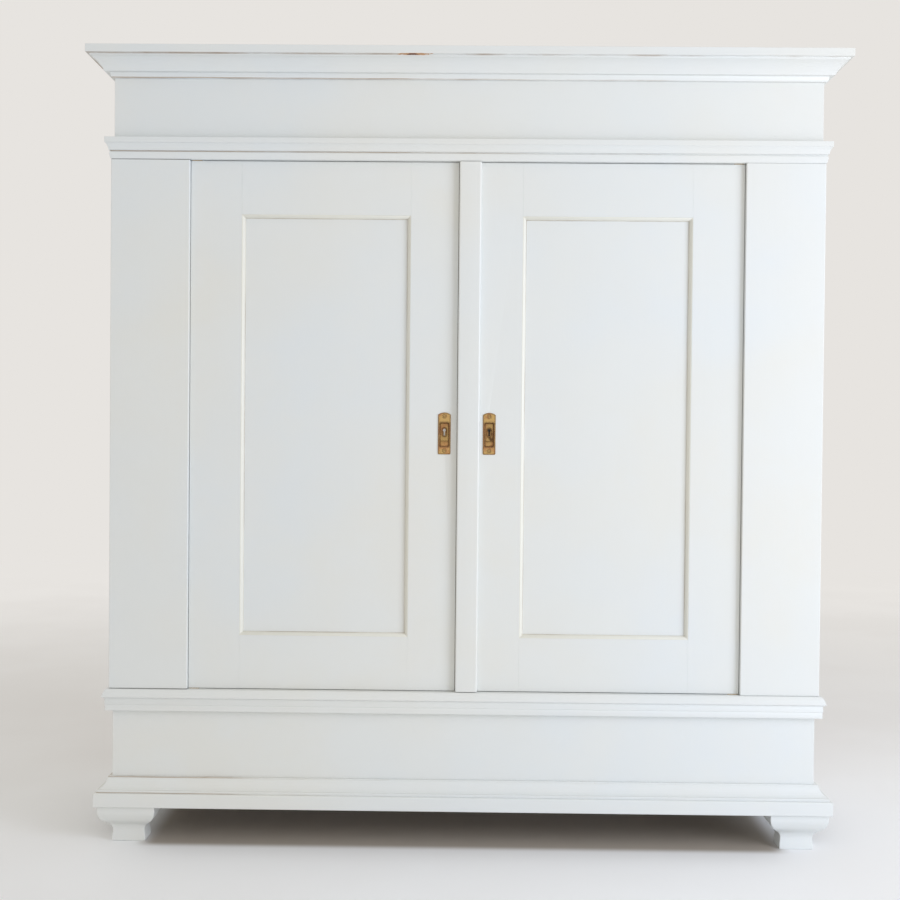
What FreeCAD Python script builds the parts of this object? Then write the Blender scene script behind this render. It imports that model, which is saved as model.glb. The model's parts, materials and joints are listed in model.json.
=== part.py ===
"""Two-door kas cupboard: painted, knock-down, on ogee block feet.

Frame: X to the right, Y to the back, Z up, in millimetres. The origin is the middle of
the footprint of the overall box, on the floor. The doors face -Y.
"""
import FreeCAD, Part
import math
import os
from FreeCAD import Vector

os.makedirs("parts", exist_ok=True)

# ---------------------------------------------------------------- driving dimensions
# Body
BODY_WIDTH = 1716.0
BODY_DEPTH = 560.0
PILASTER_WIDTH = 190.0
PILASTER_THICKNESS = 30.0

# Heights, from the floor up
FOOT_HEIGHT = 91.0
SLAB_THICKNESS = 34.0
BASE_MOULDING_HEIGHT = 34.5
PLINTH_REVEAL = 161.5
SILL_HEIGHT = 52.0
OPENING_HEIGHT = 1279.0
ARCHITRAVE_HEIGHT = 50.0
FRIEZE_REVEAL = 144.0
CORNICE_HEIGHT = 66.0

# How far each face stands out from the pilaster face (negative: set back)
CORNICE_OVERHANG = 49.0
FRIEZE_OFFSET = -6.5
PLINTH_OFFSET = -8.0
SLAB_OVERHANG = 29.0

# Boards
SLAB_BOARD_WIDTH = 130.0
SLAB_EDGE_RADIUS = 3.0
PLINTH_THICKNESS = 22.0
BOTTOM_BOARD_THICKNESS = 20.0
CEILING_THICKNESS = 20.0
FRIEZE_THICKNESS = 22.0
ROOF_THICKNESS = 14.0
ROOF_BOARD_COUNT = 4
ROOF_BOARD_GAP = 0.5
BACK_THICKNESS = 15.0
BACK_BOARD_COUNT = 8
BACK_BOARD_GAP = 1.5
SHELF_THICKNESS = 22.0
SHELF_COUNT = 3
SHELF_SETBACK = 80.0
SHELF_END_CLEARANCE = 1.0
SHELF_BACK_CLEARANCE = 2.0
BEARER_WIDTH = 22.0
BEARER_HEIGHT = 30.0
BEARER_SETBACK = 6.0
BEARER_BACK_GAP = 30.0
JAMB_WIDTH = 32.0
JAMB_THICKNESS = 26.0
STOP_SECTION = 15.0
STOP_END_GAP = 32.0
STOP_BOLT_CLEARANCE = 5.0

# Feet
FOOT_WIDTH = 140.0
FOOT_DEPTH = 115.0
FOOT_INSET = 7.0
FOOT_TOP_BAND = 6.0
FOOT_SWELL = 19.0
FOOT_WAIST = 47.0
FOOT_NECK_INSET = 31.0
FOOT_PAD_INSET = 29.5

# Side frames
SIDE_THICKNESS = 28.0
SIDE_FRONT_STILE = 90.0
SIDE_REAR_STILE = 105.0
SIDE_TOP_RAIL = 110.0
SIDE_BOTTOM_RAIL = 130.0

# Doors
DOOR_THICKNESS = 25.0
DOOR_RECESS = 12.0
DOOR_SIDE_CLEARANCE = 1.2
DOOR_END_CLEARANCE = 1.5
DOOR_MEETING_GAP = 1.2
DOOR_OUTER_STILE = 123.0
DOOR_TOP_RAIL = 128.0
DOOR_BOTTOM_RAIL = 129.5
PANEL_INNER_EDGE = 135.0

# Frame joints and panels, the same in doors and sides
PANEL_RECESS = 9.0
PANEL_THICKNESS = 8.0
GROOVE_DEPTH = 10.0
PANEL_EDGE_CLEARANCE = 2.0
TENON_LENGTH = 45.0
TENON_SHOULDER = 22.0
PANEL_MOULDING_WIDTH = 9.0
MOULDING_QUIRK = 0.3
MOULDING_FILLET = 1.0
MOULDING_FOOT = 0.8
MOULDING_ROUND = (5.8, -3.1)

# Cover strip on the right door
STRIP_LEFT = -19.0
STRIP_WIDTH = 53.0
STRIP_PROUD_OF_PILASTER = 3.0
STRIP_EDGE_RADIUS = 4.0

# Door pivots
PIVOT_EDGE_DISTANCE = 14.0
PIVOT_FACE_DISTANCE = 5.0
PIVOT_RADIUS = 3.0
PIVOT_RUNNING_CLEARANCE = 0.05
PIVOT_IN_DOOR = 30.0
PIVOT_IN_SOCKET = 12.0
SOCKET_WIDTH = 24.0
SOCKET_DEPTH = 9.0
SOCKET_LENGTH = 16.0
SOCKET_DOOR_GAP = 0.3

# Screws; the plates that they hold are as thick as the screws' heads, which lie flush
SCREW_HEAD_RADIUS = 3.4
SCREW_HEAD_DEPTH = 1.6
SCREW_SHANK_RADIUS = 1.7
SCREW_LENGTH = 13.0
SCREW_SLOT_LENGTH = 4.8
SCREW_SLOT_WIDTH = 0.9
SCREW_SLOT_DEPTH = 0.7

# An edge counts as lying in a plane when it strays less than this
FLAT_SPREAD = 0.01

# Lock plates (flush pulls with a keyhole)
PLATE_WIDTH = 30.5
PLATE_HEIGHT = 101.0
PLATE_THICKNESS = SCREW_HEAD_DEPTH
PLATE_ARCH_RISE = 5.0
PLATE_CORNER_RADIUS = 3.0
PLATE_MIDDLE_X = 4.0
PLATE_HALF_SPACING = 54.2
PLATE_CENTRE_Z = 998.0
CUP_WIDTH = 23.0
CUP_HEIGHT = 58.0
CUP_DEPTH = 9.0
CUP_WALL = 1.2
CUP_DROP = 3.0
CUP_CORNER_RADIUS = 3.0
CUP_FOOT_RISE = 13.0
ESCUTCHEON_WIDTH = 10.0
ESCUTCHEON_HEIGHT = 21.0
ESCUTCHEON_RADIUS = 4.6
ESCUTCHEON_RELIEF = 1.3
ESCUTCHEON_RISE = 6.0
PLATE_SCREW_INSET = 9.0
KEYHOLE_RADIUS = 3.6
KEYHOLE_SLOT_WIDTH = 3.2
KEYHOLE_SLOT_LENGTH = 13.0
KEYHOLE_RISE = 8.0

# Lock on the inside of the right door, and its keeper on the left one
LOCK_WIDTH = 90.0
LOCK_HEIGHT = 100.0
LOCK_THICKNESS = 14.0
LOCK_WALL = SCREW_HEAD_DEPTH
LOCK_EDGE_SETBACK = 1.0
LOCK_FLANGE = 13.0
LOCK_SCREW_INSET = 6.5
BOLT_HEIGHT = 24.0
BOLT_THICKNESS = 8.0
BOLT_CLEARANCE = 0.3
BOLT_TRAVEL = 12.0
BOLT_GUIDE_RADIUS = 3.0
BOLT_LENGTH = 60.0
BOLT_DROP = 22.0
KEEPER_WIDTH = 25.0
KEEPER_FOOT = 14.0
KEEPER_WALL = SCREW_HEAD_DEPTH

# Slide bolts on the inside of the left door
SLIDE_X = -62.0
SLIDE_WIDTH = 14.0
SLIDE_THICKNESS = 6.0
SLIDE_CLEARANCE = 0.3
SLIDE_LENGTH = 126.0
SLIDE_TRAVEL = 14.0
SLIDE_PLATE_WIDTH = 34.0
SLIDE_PLATE_LENGTH = 132.0
SLIDE_PLATE_THICKNESS = SCREW_HEAD_DEPTH
SLIDE_LOOP_HEIGHT = 14.0
SLIDE_LOOP_INSET = 8.0
SLIDE_LOOP_WALL = 2.5
SLIDE_KNOB_RADIUS = 4.5
SLIDE_KNOB_LENGTH = 13.0
SLIDE_TIP_SETBACK = 1.0
SLIDE_SCREW_INSET = 40.0
SLIDE_SCREW_SIDE = 12.5

# ---------------------------------------------------------------- derived places
HALF_WIDTH = BODY_WIDTH / 2
OVERALL_DEPTH = BODY_DEPTH + CORNICE_OVERHANG
FACE_Y = CORNICE_OVERHANG - OVERALL_DEPTH / 2
BACK_Y = FACE_Y + BODY_DEPTH
HALF_OPENING = HALF_WIDTH - PILASTER_WIDTH

SLAB_Z = FOOT_HEIGHT
SLAB_TOP = SLAB_Z + SLAB_THICKNESS
SILL_Z = SLAB_TOP + BASE_MOULDING_HEIGHT + PLINTH_REVEAL
OPENING_Z = SILL_Z + SILL_HEIGHT
BOTTOM_BOARD_Z = OPENING_Z - BOTTOM_BOARD_THICKNESS
OPENING_TOP = OPENING_Z + OPENING_HEIGHT
CEILING_TOP = OPENING_TOP + CEILING_THICKNESS
CORNICE_Z = OPENING_TOP + ARCHITRAVE_HEIGHT + FRIEZE_REVEAL
OVERALL_HEIGHT = CORNICE_Z + CORNICE_HEIGHT
ROOF_Z = OVERALL_HEIGHT - ROOF_THICKNESS

DOOR_Y = FACE_Y + DOOR_RECESS
DOOR_BACK_Y = DOOR_Y + DOOR_THICKNESS
DOOR_Z = OPENING_Z + DOOR_END_CLEARANCE
DOOR_TOP = OPENING_TOP - DOOR_END_CLEARANCE
DOOR_OUTER_EDGE = HALF_OPENING - DOOR_SIDE_CLEARANCE
LEFT_MEETING_EDGE = STRIP_LEFT - DOOR_MEETING_GAP
LEFT_PLATE_X = PLATE_MIDDLE_X - PLATE_HALF_SPACING
RIGHT_PLATE_X = PLATE_MIDDLE_X + PLATE_HALF_SPACING
PIVOT_X = DOOR_OUTER_EDGE - PIVOT_EDGE_DISTANCE
PIVOT_Y = DOOR_Y + PIVOT_FACE_DISTANCE
SIDE_INNER_X = HALF_WIDTH - SIDE_THICKNESS


# ---------------------------------------------------------------- helpers
def box(x0, x1, y0, y1, z0, z1):
    """A block between two corners."""
    return Part.makeBox(x1 - x0, y1 - y0, z1 - z0, Vector(x0, y0, z0))


def rod(radius, start, end):
    """A round bar from one point to another."""
    along = end - start
    return Part.makeCylinder(radius, along.Length, start, along)


def mirrored(shape):
    """The same piece on the other side of the cupboard."""
    return shape.mirror(Vector(0, 0, 0), Vector(1, 0, 0))


def turned(shape, axis, angle):
    """A copy turned about an axis through the origin."""
    copy = shape.copy()
    copy.rotate(Vector(0, 0, 0), axis, angle)
    return copy


def moved(shape, x, y, z):
    copy = shape.copy()
    copy.translate(Vector(x, y, z))
    return copy


def outline(points):
    """Edges through 2-D points; a point given as ('arc', via, end) is a three-point arc."""
    first = points[0]
    here = first
    edges = []
    closing = [] if points[-1][-1] == first else [first]
    for point in points[1:] + closing:
        if point[0] == "arc":
            via, end = point[1], point[2]
            edges.append(Part.Arc(Vector(0, -here[0], here[1]), Vector(0, -via[0], via[1]),
                                  Vector(0, -end[0], end[1])).toShape())
            here = end
        else:
            edges.append(Part.makeLine(Vector(0, -here[0], here[1]), Vector(0, -point[0], point[1])))
            here = point
    return Part.Wire(edges)


def mitred_run(points, length, start, end):
    """A moulding along X, centred, whose section stands out towards -Y.

    The section is a list of (out, up) points. Each end is +1 for an outside mitre, -1 for an
    inside mitre and 0 for a square end; the length is measured where the section's out is 0.
    """
    section = outline(points)
    bounds = section.BoundBox
    low, high = -bounds.YMax, -bounds.YMin
    reach = length / 2 + abs(low) + abs(high)
    bar = Part.Face(section).extrude(Vector(2 * reach, 0, 0))
    bar.translate(Vector(-reach, 0, 0))
    half = length / 2
    plan = Part.makePolygon([
        Vector(-half - start * low, -low, bounds.ZMin),
        Vector(half + end * low, -low, bounds.ZMin),
        Vector(half + end * high, -high, bounds.ZMin),
        Vector(-half - start * high, -high, bounds.ZMin),
        Vector(-half - start * low, -low, bounds.ZMin),
    ])
    prism = Part.Face(plan).extrude(Vector(0, 0, bounds.ZLength))
    return bar.common(prism).Solids[0]


def around_body(points, z):
    """A moulding's front length and its two returns, mitred round the front corners."""
    front = moved(mitred_run(points, BODY_WIDTH, 1, 1), 0, FACE_Y, z)
    right = turned(mitred_run(points, BODY_DEPTH, 1, 0), Vector(0, 0, 1), 90)
    right = moved(right, HALF_WIDTH, FACE_Y + BODY_DEPTH / 2, z)
    return front, Part.Compound([mirrored(right), right])


def board_box(offset, thickness, z0, z1):
    """Upright boards in a ring set at an offset from the body: front, sides and back."""
    reach = HALF_WIDTH + offset
    front_y = FACE_Y - offset
    front = box(-reach, reach, front_y, front_y + thickness, z0, z1)
    back = box(-reach, reach, BACK_Y - thickness, BACK_Y, z0, z1)
    side = box(reach - thickness, reach, front_y + thickness, BACK_Y - thickness, z0, z1)
    return front, Part.Compound([mirrored(side), side]), back


def screw_blank(x, y, z, into):
    """A flush-headed screw without its slot; into is +1 towards the back, -1 towards the front."""
    face = Vector(x, y, z)
    head = rod(SCREW_HEAD_RADIUS, face, face + Vector(0, into * SCREW_HEAD_DEPTH, 0))
    shank = rod(SCREW_SHANK_RADIUS, face, face + Vector(0, into * SCREW_LENGTH, 0))
    return head.fuse(shank).removeSplitter().Solids[0]


def screw(x, y, z, into):
    slot_y = sorted((y, y + into * SCREW_SLOT_DEPTH))
    slot = box(x - SCREW_SLOT_LENGTH / 2, x + SCREW_SLOT_LENGTH / 2, slot_y[0], slot_y[1],
               z - SCREW_SLOT_WIDTH / 2, z + SCREW_SLOT_WIDTH / 2)
    return screw_blank(x, y, z, into).cut(slot).Solids[0]


def panel_moulding(width, height):
    """Four mitred strips round a panel opening centred on the origin, front face at y = 0."""
    section = [
        (0.0, -PANEL_RECESS),
        (0.0, -MOULDING_QUIRK),
        (MOULDING_FILLET, -MOULDING_QUIRK),
        ("arc", MOULDING_ROUND, (PANEL_MOULDING_WIDTH - MOULDING_FILLET, MOULDING_FOOT - PANEL_RECESS)),
        (PANEL_MOULDING_WIDTH, MOULDING_FOOT - PANEL_RECESS),
        (PANEL_MOULDING_WIDTH, -PANEL_RECESS),
    ]
    strips = []
    for angle in (0, 90, 180, 270):
        length, reach = (width, height) if angle % 180 == 0 else (height, width)
        strip = turned(mitred_run(section, length, -1, -1), Vector(1, 0, 0), 90)
        strips.append(turned(moved(strip, 0, 0, reach / 2), Vector(0, 1, 0), angle))
    return strips


def framed_leaf(width, height, thickness, stiles, rails):
    """A frame-and-panel leaf: outer face at y = 0, left edge at x = 0, bottom at z = 0.

    stiles are the (left, right) widths and rails the (bottom, top) heights. Rails are
    tenoned into the stiles and the panel floats in a groove.
    """
    left, right = stiles
    bottom, top = rails
    panel_y = PANEL_RECESS
    panel_back = panel_y + PANEL_THICKNESS
    groove = box(left - GROOVE_DEPTH, width - right + GROOVE_DEPTH, panel_y, panel_back,
                 bottom - GROOVE_DEPTH, height - top + GROOVE_DEPTH)
    tongue = GROOVE_DEPTH - PANEL_EDGE_CLEARANCE
    panel = box(left - tongue, width - right + tongue, panel_y, panel_back,
                bottom - tongue, height - top + tongue)
    rail_shapes = []
    for z0, z1 in ((0, bottom), (height - top, height)):
        body = box(left, width - right, 0, thickness, z0, z1)
        tenon = box(left - TENON_LENGTH, width - right + TENON_LENGTH, panel_y, panel_back,
                    z0 + TENON_SHOULDER, z1 - TENON_SHOULDER)
        rail_shapes.append(body.fuse(tenon).cut(groove).removeSplitter().Solids[0])
    stile_shapes = []
    for x0, x1 in ((0, left), (width - right, width)):
        stile = box(x0, x1, 0, thickness, 0, height).cut(groove)
        for rail in rail_shapes:
            stile = stile.cut(rail)
        stile_shapes.append(stile.Solids[0])
    opening_width = width - left - right
    opening_height = height - bottom - top
    strips = [moved(strip, left + opening_width / 2, 0, bottom + opening_height / 2)
              for strip in panel_moulding(opening_width, opening_height)]
    return {
        "left_stile": stile_shapes[0],
        "right_stile": stile_shapes[1],
        "bottom_rail": rail_shapes[0],
        "top_rail": rail_shapes[1],
        "panel": panel,
        "moulding": Part.Compound(strips),
    }


# ---------------------------------------------------------------- base
# Insets from the foot's widest level, and heights above the floor
FOOT_SIDE = [
    (0.0, FOOT_HEIGHT),
    (0.0, FOOT_HEIGHT - FOOT_TOP_BAND),
    ("arc", (6.0, 60.5), (FOOT_SWELL, FOOT_WAIST)),
    ("arc", (27.5, 39.0), (FOOT_NECK_INSET, 28.0)),
    (FOOT_NECK_INSET, 20.0),
    (FOOT_PAD_INSET, 14.0),
    (FOOT_PAD_INSET, 0.0),
]


def ogee_block(width, length):
    """A length of the feet's profile along X, centred: a swelling top, a neck and a small pad."""
    middle = [(width / 2, 0.0), (width / 2, FOOT_HEIGHT)]
    face = Part.Face(outline(FOOT_SIDE + middle))
    half = moved(face.extrude(Vector(length, 0, 0)), -length / 2, width / 2, 0)
    return half.fuse(half.mirror(Vector(0, 0, 0), Vector(0, 1, 0))).removeSplitter()


def make_feet():
    """Four square-cut ogee feet, each worked on all its faces so that the corners mitre."""
    across = turned(ogee_block(FOOT_WIDTH, FOOT_DEPTH), Vector(0, 0, 1), 90)
    foot = across.common(ogee_block(FOOT_DEPTH, FOOT_WIDTH)).removeSplitter().Solids[0]
    x = HALF_WIDTH + SLAB_OVERHANG - FOOT_INSET - FOOT_WIDTH / 2
    front_y = FACE_Y - SLAB_OVERHANG + FOOT_INSET + FOOT_DEPTH / 2
    back_y = BACK_Y - FOOT_INSET - FOOT_DEPTH / 2
    return Part.Compound([moved(foot, side * x, y, 0)
                          for y in (front_y, back_y) for side in (-1, 1)])


def slab_section():
    inner = SLAB_OVERHANG - SLAB_BOARD_WIDTH
    r = SLAB_EDGE_RADIUS
    bend = r * (1 - math.sqrt(0.5))
    return [
        (inner, 0.0),
        (SLAB_OVERHANG - r, 0.0),
        ("arc", (SLAB_OVERHANG - bend, bend), (SLAB_OVERHANG, r)),
        (SLAB_OVERHANG, SLAB_THICKNESS - r),
        ("arc", (SLAB_OVERHANG - bend, SLAB_THICKNESS - bend), (SLAB_OVERHANG - r, SLAB_THICKNESS)),
        (inner, SLAB_THICKNESS),
    ]


def make_slab():
    front, sides = around_body(slab_section(), SLAB_Z)
    reach = HALF_WIDTH + SLAB_OVERHANG - SLAB_BOARD_WIDTH
    back = box(-reach, reach, BACK_Y - SLAB_BOARD_WIDTH, BACK_Y, SLAB_Z, SLAB_TOP)
    return front, sides, back


BASE_MOULDING_SECTION = [
    (PLINTH_OFFSET, 0.0),
    (22.0, 0.0),
    (22.0, 6.5),
    (19.5, 6.5),
    ("arc", (7.5, 16.5), (1.5, 32.0)),
    (0.0, 32.0),
    (0.0, BASE_MOULDING_HEIGHT),
    (PLINTH_OFFSET, BASE_MOULDING_HEIGHT),
]

SILL_NOSE = 14.0
SILL_SECTION = [
    (PLINTH_OFFSET, 0.0),
    (7.0, 0.0),
    (7.0, 14.5),
    (8.0, 15.5),
    (8.0, 30.5),
    (SILL_NOSE - 1.0, 32.5),
    ("arc", (SILL_NOSE, 34.0), (SILL_NOSE - 0.7, 36.5)),
    ("arc", (10.6, 44.6), (5.5, SILL_HEIGHT)),
    (PLINTH_OFFSET, SILL_HEIGHT),
]

ARCHITRAVE_NOSE = 13.0
ARCHITRAVE_SECTION = [
    (FRIEZE_OFFSET, 0.0),
    (0.5, 0.0),
    ("arc", (2.8, 7.0), (3.6, 16.0)),
    (1.0, 17.0),
    (1.0, 20.0),
    (5.0, 20.0),
    ("arc", (7.2, 29.5), (ARCHITRAVE_NOSE - 1.0, 37.0)),
    (ARCHITRAVE_NOSE, 37.0),
    (ARCHITRAVE_NOSE, ARCHITRAVE_HEIGHT),
    (FRIEZE_OFFSET, ARCHITRAVE_HEIGHT),
]

CORNICE_SECTION = [
    (FRIEZE_OFFSET, 0.0),
    (0.0, 0.0),
    (4.0, 12.0),
    (14.0, 12.0),
    ("arc", (24.6, 30.2), (41.5, 43.0)),
    (41.5, 47.0),
    (CORNICE_OVERHANG, 47.0),
    (CORNICE_OVERHANG, CORNICE_HEIGHT),
    (FRIEZE_OFFSET, CORNICE_HEIGHT),
]


# ---------------------------------------------------------------- carcass
def make_pilaster():
    return box(HALF_OPENING, HALF_WIDTH, FACE_Y, FACE_Y + PILASTER_THICKNESS, OPENING_Z, OPENING_TOP)


def make_jambs():
    """Battens behind the pilasters' inner edges, which close the gap beside each door."""
    y = FACE_Y + PILASTER_THICKNESS
    jamb = box(HALF_OPENING, HALF_OPENING + JAMB_WIDTH, y, y + JAMB_THICKNESS, OPENING_Z, OPENING_TOP)
    return Part.Compound([mirrored(jamb), jamb])


def make_side():
    """The right side: a framed panel whose outer face is flush with the pilaster's edge."""
    front_y = FACE_Y + PILASTER_THICKNESS
    leaf = framed_leaf(BACK_Y - front_y, OPENING_HEIGHT, SIDE_THICKNESS,
                       (SIDE_FRONT_STILE, SIDE_REAR_STILE), (SIDE_BOTTOM_RAIL, SIDE_TOP_RAIL))
    placed = {}
    for name, shape in leaf.items():
        placed[name] = moved(turned(shape, Vector(0, 0, 1), 90), HALF_WIDTH, front_y, OPENING_Z)
    frame_names = ("left_stile", "right_stile", "bottom_rail", "top_rail")
    frame = Part.Compound([placed[name] for name in frame_names] + placed["moulding"].Solids)
    return frame, placed["panel"]


def covering_board(offset, z0, z1):
    """The bottom or the ceiling board, sized to the ring of boards under or over it."""
    reach = HALF_WIDTH + offset
    return box(-reach, reach, FACE_Y - offset, BACK_Y, z0, z1)


def shelf_top(number):
    bay = OPENING_HEIGHT / (SHELF_COUNT + 1)
    return OPENING_Z + number * bay


def make_shelf(number):
    reach = SIDE_INNER_X - SHELF_END_CLEARANCE
    top = shelf_top(number)
    return box(-reach, reach, FACE_Y + SHELF_SETBACK, BACK_Y - BACK_THICKNESS - SHELF_BACK_CLEARANCE,
               top - SHELF_THICKNESS, top)


def make_bearers():
    """A cleat at each end of each shelf, fixed across the side frame's two stiles."""
    bearers = []
    for number in range(1, SHELF_COUNT + 1):
        top = shelf_top(number) - SHELF_THICKNESS
        bearer = box(SIDE_INNER_X - BEARER_WIDTH, SIDE_INNER_X, FACE_Y + SHELF_SETBACK + BEARER_SETBACK,
                     BACK_Y - BACK_THICKNESS - BEARER_BACK_GAP, top - BEARER_HEIGHT, top)
        bearers += [mirrored(bearer), bearer]
    return Part.Compound(bearers)


def make_back_boards():
    """Upright boards between the rear stiles, with a narrow gap for the wood to move."""
    clear = 2 * SIDE_INNER_X - (BACK_BOARD_COUNT - 1) * BACK_BOARD_GAP
    width = clear / BACK_BOARD_COUNT
    boards = []
    for number in range(BACK_BOARD_COUNT):
        x = -SIDE_INNER_X + number * (width + BACK_BOARD_GAP)
        boards.append(box(x, x + width, BACK_Y - BACK_THICKNESS, BACK_Y, OPENING_Z, OPENING_TOP))
    return Part.Compound(boards)


def make_roof_boards():
    reach = HALF_WIDTH + FRIEZE_OFFSET
    front_y = FACE_Y - FRIEZE_OFFSET
    width = (BACK_Y - front_y - (ROOF_BOARD_COUNT - 1) * ROOF_BOARD_GAP) / ROOF_BOARD_COUNT
    boards = []
    for number in range(ROOF_BOARD_COUNT):
        y = front_y + number * (width + ROOF_BOARD_GAP)
        boards.append(box(-reach, reach, y, y + width, ROOF_Z, OVERALL_HEIGHT))
    return Part.Compound(boards)


def make_door_stops():
    """Strips that the closed doors rest against, left open where the slide bolts pass."""
    reach = HALF_OPENING - STOP_END_GAP
    half_gap = SLIDE_PLATE_WIDTH / 2 + STOP_BOLT_CLEARANCE
    spans = ((-reach, SLIDE_X - half_gap), (SLIDE_X + half_gap, reach))
    levels = ((OPENING_Z, OPENING_Z + STOP_SECTION), (OPENING_TOP - STOP_SECTION, OPENING_TOP))
    return Part.Compound([box(x0, x1, DOOR_BACK_Y, DOOR_BACK_Y + STOP_SECTION, z0, z1)
                          for x0, x1 in spans for z0, z1 in levels])


# ---------------------------------------------------------------- door pivots
def socket_blanks(x):
    """One door's bottom and top sockets without their bores; each carries the door clear of the board."""
    blanks = []
    for level, way in ((OPENING_Z, 1), (OPENING_TOP, -1)):
        low, high = sorted((level - way * SOCKET_LENGTH, level + way * (DOOR_END_CLEARANCE - SOCKET_DOOR_GAP)))
        blanks.append(box(x - SOCKET_WIDTH / 2, x + SOCKET_WIDTH / 2, PIVOT_Y - SOCKET_DEPTH / 2,
                          PIVOT_Y + SOCKET_DEPTH / 2, low, high))
    return blanks


def make_sockets():
    sockets = []
    for x in (-PIVOT_X, PIVOT_X):
        bore = rod(PIVOT_RADIUS + PIVOT_RUNNING_CLEARANCE, Vector(x, PIVOT_Y, 0),
                   Vector(x, PIVOT_Y, OVERALL_HEIGHT))
        sockets += [blank.cut(bore).Solids[0] for blank in socket_blanks(x)]
    return Part.Compound(sockets)


def make_pivots(x):
    """A door's two pins, each let into the end of its hanging stile."""
    reach = DOOR_END_CLEARANCE + PIVOT_IN_SOCKET
    spans = ((DOOR_Z - reach, DOOR_Z + PIVOT_IN_DOOR), (DOOR_TOP - PIVOT_IN_DOOR, DOOR_TOP + reach))
    return Part.Compound([rod(PIVOT_RADIUS, Vector(x, PIVOT_Y, z0), Vector(x, PIVOT_Y, z1))
                          for z0, z1 in spans])


# ---------------------------------------------------------------- lock plates
def rounded_through(shape, radius):
    """Round the edges that run straight from front to back."""
    edges = [edge for edge in shape.Edges
             if edge.BoundBox.XLength < FLAT_SPREAD and edge.BoundBox.ZLength < FLAT_SPREAD]
    return shape.makeFillet(radius, edges)


def flange(x):
    """A tall plate with a low arched head and rounded corners."""
    half = PLATE_WIDTH / 2
    foot = -PLATE_HEIGHT / 2
    spring = PLATE_HEIGHT / 2 - PLATE_ARCH_RISE
    points = [(-half, foot), (half, foot), (half, spring), ("arc", (0.0, PLATE_HEIGHT / 2), (-half, spring))]
    upright = turned(Part.Face(outline(points)), Vector(0, 0, 1), 90)
    plate = rounded_through(upright.extrude(Vector(0, PLATE_THICKNESS, 0)), PLATE_CORNER_RADIUS)
    return moved(plate, x, DOOR_Y - PLATE_THICKNESS, PLATE_CENTRE_Z)


def keyhole(x, y0, y1):
    z = PLATE_CENTRE_Z + KEYHOLE_RISE
    eye = rod(KEYHOLE_RADIUS, Vector(x, y0, z), Vector(x, y1, z))
    slot = box(x - KEYHOLE_SLOT_WIDTH / 2, x + KEYHOLE_SLOT_WIDTH / 2, y0, y1, z - KEYHOLE_SLOT_LENGTH, z)
    return eye.fuse(slot)


def cup_block(x, wall, depth):
    """The block of space that a plate's hollow takes, grown by a wall on each side."""
    middle = PLATE_CENTRE_Z - CUP_DROP
    return box(x - CUP_WIDTH / 2 - wall, x + CUP_WIDTH / 2 + wall, DOOR_Y - PLATE_THICKNESS, DOOR_Y + depth,
               middle - CUP_HEIGHT / 2 - wall, middle + CUP_HEIGHT / 2 + wall)


def sloped(x, block):
    """A plate's hollow, or the shell round it, with its foot sloping up from the door's face."""
    foot = block.BoundBox.ZMin
    back = block.BoundBox.YMax
    corners = [Vector(x - CUP_WIDTH, DOOR_Y, foot),
               Vector(x - CUP_WIDTH, back, foot),
               Vector(x - CUP_WIDTH, back, foot + CUP_FOOT_RISE)]
    wedge = Part.Face(Part.makePolygon(corners + corners[:1])).extrude(Vector(2 * CUP_WIDTH, 0, 0))
    return block.cut(wedge)


def escutcheon(x):
    """The raised rim round the keyhole, on the cup's floor."""
    middle = PLATE_CENTRE_Z - CUP_DROP + ESCUTCHEON_RISE
    half = ESCUTCHEON_HEIGHT / 2
    block = box(x - ESCUTCHEON_WIDTH / 2, x + ESCUTCHEON_WIDTH / 2, DOOR_Y + CUP_DEPTH - ESCUTCHEON_RELIEF,
                DOOR_Y + CUP_DEPTH, middle - half, middle + half)
    return rounded_through(block, ESCUTCHEON_RADIUS)


def plate_screw_places(x):
    reach = PLATE_HEIGHT / 2 - PLATE_SCREW_INSET
    return [(x, DOOR_Y - PLATE_THICKNESS, PLATE_CENTRE_Z + way * reach) for way in (-1, 1)]


def make_lock_plate(x):
    """A flush pull: plate, sunk finger cup and a rimmed keyhole through the cup's floor."""
    shell = flange(x).fuse(sloped(x, cup_block(x, CUP_WALL, CUP_DEPTH + CUP_WALL)))
    hollow = sloped(x, rounded_through(cup_block(x, 0, CUP_DEPTH), CUP_CORNER_RADIUS))
    shell = shell.cut(hollow).fuse(escutcheon(x))
    shell = shell.cut(keyhole(x, DOOR_Y, DOOR_Y + CUP_DEPTH + 2 * CUP_WALL))
    for place in plate_screw_places(x):
        shell = shell.cut(screw_blank(*place, 1))
    return shell.removeSplitter().Solids[0]


def plate_mortise(x):
    return cup_block(x, CUP_WALL, CUP_DEPTH + CUP_WALL)


# ---------------------------------------------------------------- lock and keeper
LOCK_X = STRIP_LEFT + LOCK_EDGE_SETBACK
LOCK_BACK_Y = DOOR_BACK_Y + LOCK_THICKNESS
BOLT_Y = DOOR_BACK_Y + LOCK_THICKNESS / 2
BOLT_Z = PLATE_CENTRE_Z - BOLT_DROP
BOLT_GUIDE_X = LOCK_X + BOLT_LENGTH / 2


def bolt_passage(x0, x1):
    """The square hole that the lock bolt slides through, with its clearance."""
    reach_y = BOLT_THICKNESS / 2 + BOLT_CLEARANCE
    reach_z = BOLT_HEIGHT / 2 + BOLT_CLEARANCE
    return box(x0, x1, BOLT_Y - reach_y, BOLT_Y + reach_y, BOLT_Z - reach_z, BOLT_Z + reach_z)


def lock_screw_places():
    reach = LOCK_HEIGHT / 2 - LOCK_SCREW_INSET
    x = LOCK_X + LOCK_WIDTH / 2
    return [(x, DOOR_BACK_Y + LOCK_WALL, PLATE_CENTRE_Z + way * reach) for way in (-1, 1)]


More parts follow.
